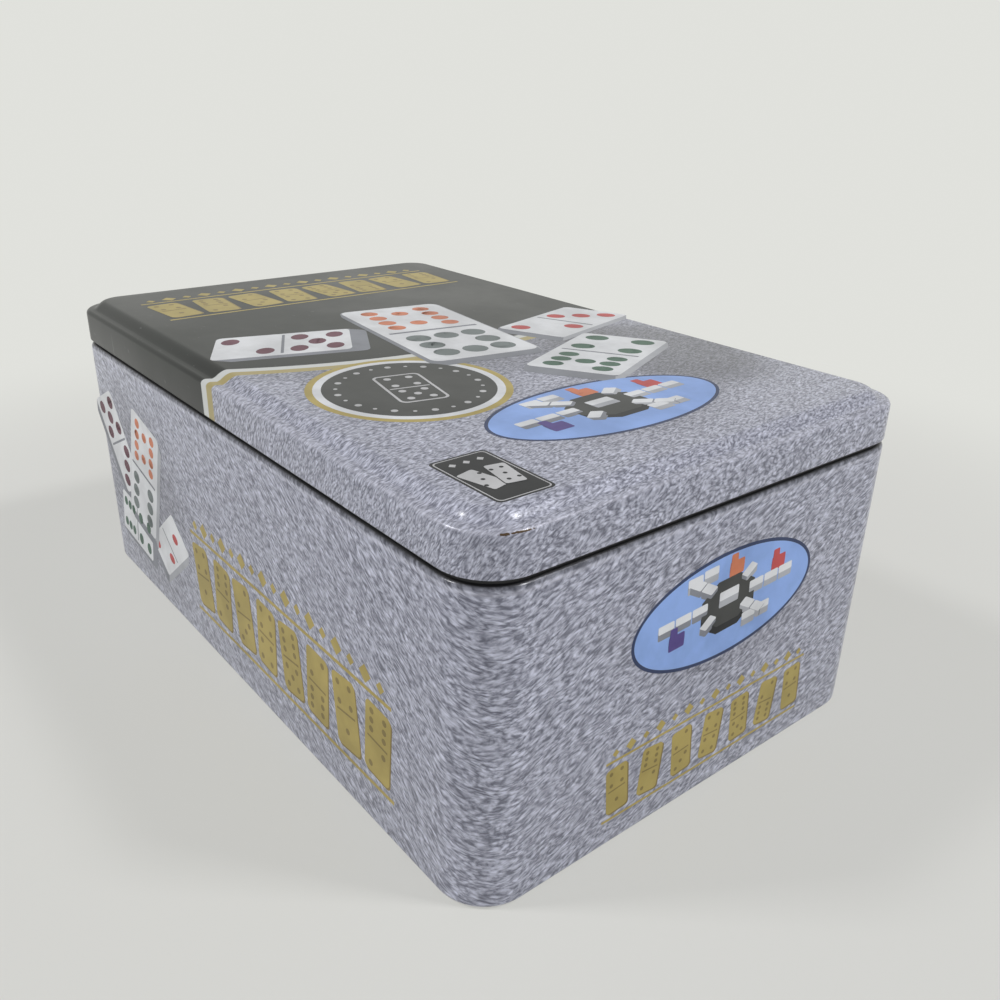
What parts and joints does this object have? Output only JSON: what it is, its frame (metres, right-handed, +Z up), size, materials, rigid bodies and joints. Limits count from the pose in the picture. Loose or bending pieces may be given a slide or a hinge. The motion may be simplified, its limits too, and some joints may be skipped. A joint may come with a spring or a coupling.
{
  "type": "domino set tin",
  "caption": "Rectangular slip-lid tin with rounded corners and a raised lid panel, packed with stacked domino tiles in a tray, a hub, train markers and a leaflet.",
  "frame": {"origin": "centre of the tin's bottom, on the surface it stands on", "axes": "+X along the tin's long side, +Y towards the back long side, +Z up"},
  "size_m": [0.19, 0.12, 0.0795],
  "materials": {
    "grained_lacquer": "satin lacquer printed with a fine leather grain, silver grey",
    "bare_tinplate": "bright plain tinplate",
    "tray_black": "thermoformed, satin",
    "hub_black": "moulded, semi gloss",
    "paper": "uncoated folded paper",
    "tile_white": "polished resin",
    "marker_purple": "moulded, semi gloss",
    "marker_orange": "moulded, semi gloss",
    "marker_black": "moulded, semi gloss",
    "marker_white": "moulded, semi gloss",
    "marker_red": "moulded, semi gloss",
    "marker_green": "moulded, semi gloss",
    "marker_yellow": "moulded, semi gloss",
    "marker_blue": "moulded, semi gloss"
  },
  "bodies": {
    "tin": {"tin_body": "grained_lacquer", "tin_base": "bare_tinplate"},
    "tray": {"tile_tray": "tray_black", "tile_stack_front_1": "tile_white", "tile_stack_front_2": "tile_white", "tile_stack_front_3": "tile_white", "tile_stack_front_4": "tile_white", "tile_stack_front_5": "tile_white", "tile_stack_front_6": "tile_white", "tile_stack_front_7": "tile_white", "tile_stack_back_1": "tile_white", "tile_stack_back_2": "tile_white", "tile_stack_back_3": "tile_white", "tile_stack_back_4": "tile_white", "tile_stack_back_5": "tile_white", "tile_stack_back_6": "tile_white"},
    "lid": {"lid": "grained_lacquer"},
    "leaflet": {"rules_leaflet": "paper"},
    "hub": {"hub": "hub_black"},
    "marker_purple": {"train_marker_purple": "marker_purple"},
    "marker_orange": {"train_marker_orange": "marker_orange"},
    "marker_black": {"train_marker_black": "marker_black"},
    "marker_white": {"train_marker_white": "marker_white"},
    "marker_red": {"train_marker_red": "marker_red"},
    "marker_green": {"train_marker_green": "marker_green"},
    "marker_yellow": {"train_marker_yellow": "marker_yellow"},
    "marker_blue": {"train_marker_blue": "marker_blue"},
    "tile_front_1": {"top_tile_front_1": "tile_white"},
    "tile_front_2": {"top_tile_front_2": "tile_white"},
    "tile_front_3": {"top_tile_front_3": "tile_white"},
    "tile_front_4": {"top_tile_front_4": "tile_white"},
    "tile_front_5": {"top_tile_front_5": "tile_white"},
    "tile_front_6": {"top_tile_front_6": "tile_white"},
    "tile_front_7": {"top_tile_front_7": "tile_white"},
    "tile_back_1": {"top_tile_back_1": "tile_white"},
    "tile_back_2": {"top_tile_back_2": "tile_white"},
    "tile_back_3": {"top_tile_back_3": "tile_white"},
    "tile_back_4": {"top_tile_back_4": "tile_white"},
    "tile_back_5": {"top_tile_back_5": "tile_white"},
    "tile_back_6": {"top_tile_back_6": "tile_white"}
  },
  "joints": [
    {"name": "lid_lift", "type": "slide", "parent": "tin", "child": "lid", "axis": [0, 0, 1], "range_m": [0, 0.3]},
    {"name": "leaflet_lift", "type": "slide", "parent": "tin", "child": "leaflet", "axis": [0, 0, 1], "range_m": [0, 0.27]},
    {"name": "marker_purple_lift", "type": "slide", "parent": "tin", "child": "marker_purple", "axis": [0, 0, 1], "range_m": [0, 0.24]},
    {"name": "marker_orange_lift", "type": "slide", "parent": "tin", "child": "marker_orange", "axis": [0, 0, 1], "range_m": [0, 0.24]},
    {"name": "marker_black_lift", "type": "slide", "parent": "tin", "child": "marker_black", "axis": [0, 0, 1], "range_m": [0, 0.24]},
    {"name": "marker_white_lift", "type": "slide", "parent": "tin", "child": "marker_white", "axis": [0, 0, 1], "range_m": [0, 0.24]},
    {"name": "marker_red_lift", "type": "slide", "parent": "tin", "child": "marker_red", "axis": [0, 0, 1], "range_m": [0, 0.24]},
    {"name": "marker_green_lift", "type": "slide", "parent": "tin", "child": "marker_green", "axis": [0, 0, 1], "range_m": [0, 0.24]},
    {"name": "marker_yellow_lift", "type": "slide", "parent": "tin", "child": "marker_yellow", "axis": [0, 0, 1], "range_m": [0, 0.24]},
    {"name": "marker_blue_lift", "type": "slide", "parent": "tin", "child": "marker_blue", "axis": [0, 0, 1], "range_m": [0, 0.24]},
    {"name": "hub_lift", "type": "slide", "parent": "tin", "child": "hub", "axis": [0, 0, 1], "range_m": [0, 0.21]},
    {"name": "tile_front_1_lift", "type": "slide", "parent": "tin", "child": "tile_front_1", "axis": [0, 0, 1], "range_m": [0, 0.15]},
    {"name": "tile_front_2_lift", "type": "slide", "parent": "tin", "child": "tile_front_2", "axis": [0, 0, 1], "range_m": [0, 0.15]},
    {"name": "tile_front_3_lift", "type": "slide", "parent": "tin", "child": "tile_front_3", "axis": [0, 0, 1], "range_m": [0, 0.15]},
    {"name": "tile_front_4_lift", "type": "slide", "parent": "tin", "child": "tile_front_4", "axis": [0, 0, 1], "range_m": [0, 0.15]},
    {"name": "tile_front_5_lift", "type": "slide", "parent": "tin", "child": "tile_front_5", "axis": [0, 0, 1], "range_m": [0, 0.15]},
    {"name": "tile_front_6_lift", "type": "slide", "parent": "tin", "child": "tile_front_6", "axis": [0, 0, 1], "range_m": [0, 0.15]},
    {"name": "tile_front_7_lift", "type": "slide", "parent": "tin", "child": "tile_front_7", "axis": [0, 0, 1], "range_m": [0, 0.15]},
    {"name": "tile_back_1_lift", "type": "slide", "parent": "tin", "child": "tile_back_1", "axis": [0, 0, 1], "range_m": [0, 0.15]},
    {"name": "tile_back_2_lift", "type": "slide", "parent": "tin", "child": "tile_back_2", "axis": [0, 0, 1], "range_m": [0, 0.15]},
    {"name": "tile_back_3_lift", "type": "slide", "parent": "tin", "child": "tile_back_3", "axis": [0, 0, 1], "range_m": [0, 0.15]},
    {"name": "tile_back_4_lift", "type": "slide", "parent": "tin", "child": "tile_back_4", "axis": [0, 0, 1], "range_m": [0, 0.15]},
    {"name": "tile_back_5_lift", "type": "slide", "parent": "tin", "child": "tile_back_5", "axis": [0, 0, 1], "range_m": [0, 0.15]},
    {"name": "tile_back_6_lift", "type": "slide", "parent": "tin", "child": "tile_back_6", "axis": [0, 0, 1], "range_m": [0, 0.15]},
    {"name": "tray_lift", "type": "slide", "parent": "tin", "child": "tray", "axis": [0, 0, 1], "range_m": [0, 0.09]}
  ],
  "couplings": [
    {"joint": "leaflet_lift", "follows": "lid_lift", "ratio": 0.9},
    {"joint": "marker_purple_lift", "follows": "lid_lift", "ratio": 0.8},
    {"joint": "marker_orange_lift", "follows": "lid_lift", "ratio": 0.8},
    {"joint": "marker_black_lift", "follows": "lid_lift", "ratio": 0.8},
    {"joint": "marker_white_lift", "follows": "lid_lift", "ratio": 0.8},
    {"joint": "marker_red_lift", "follows": "lid_lift", "ratio": 0.8},
    {"joint": "marker_green_lift", "follows": "lid_lift", "ratio": 0.8},
    {"joint": "marker_yellow_lift", "follows": "lid_lift", "ratio": 0.8},
    {"joint": "marker_blue_lift", "follows": "lid_lift", "ratio": 0.8},
    {"joint": "hub_lift", "follows": "lid_lift", "ratio": 0.7},
    {"joint": "tile_front_1_lift", "follows": "lid_lift", "ratio": 0.5},
    {"joint": "tile_front_2_lift", "follows": "lid_lift", "ratio": 0.5},
    {"joint": "tile_front_3_lift", "follows": "lid_lift", "ratio": 0.5},
    {"joint": "tile_front_4_lift", "follows": "lid_lift", "ratio": 0.5},
    {"joint": "tile_front_5_lift", "follows": "lid_lift", "ratio": 0.5},
    {"joint": "tile_front_6_lift", "follows": "lid_lift", "ratio": 0.5},
    {"joint": "tile_front_7_lift", "follows": "lid_lift", "ratio": 0.5},
    {"joint": "tile_back_1_lift", "follows": "lid_lift", "ratio": 0.5},
    {"joint": "tile_back_2_lift", "follows": "lid_lift", "ratio": 0.5},
    {"joint": "tile_back_3_lift", "follows": "lid_lift", "ratio": 0.5},
    {"joint": "tile_back_4_lift", "follows": "lid_lift", "ratio": 0.5},
    {"joint": "tile_back_5_lift", "follows": "lid_lift", "ratio": 0.5},
    {"joint": "tile_back_6_lift", "follows": "lid_lift", "ratio": 0.5},
    {"joint": "tray_lift", "follows": "lid_lift", "ratio": 0.3}
  ]
}
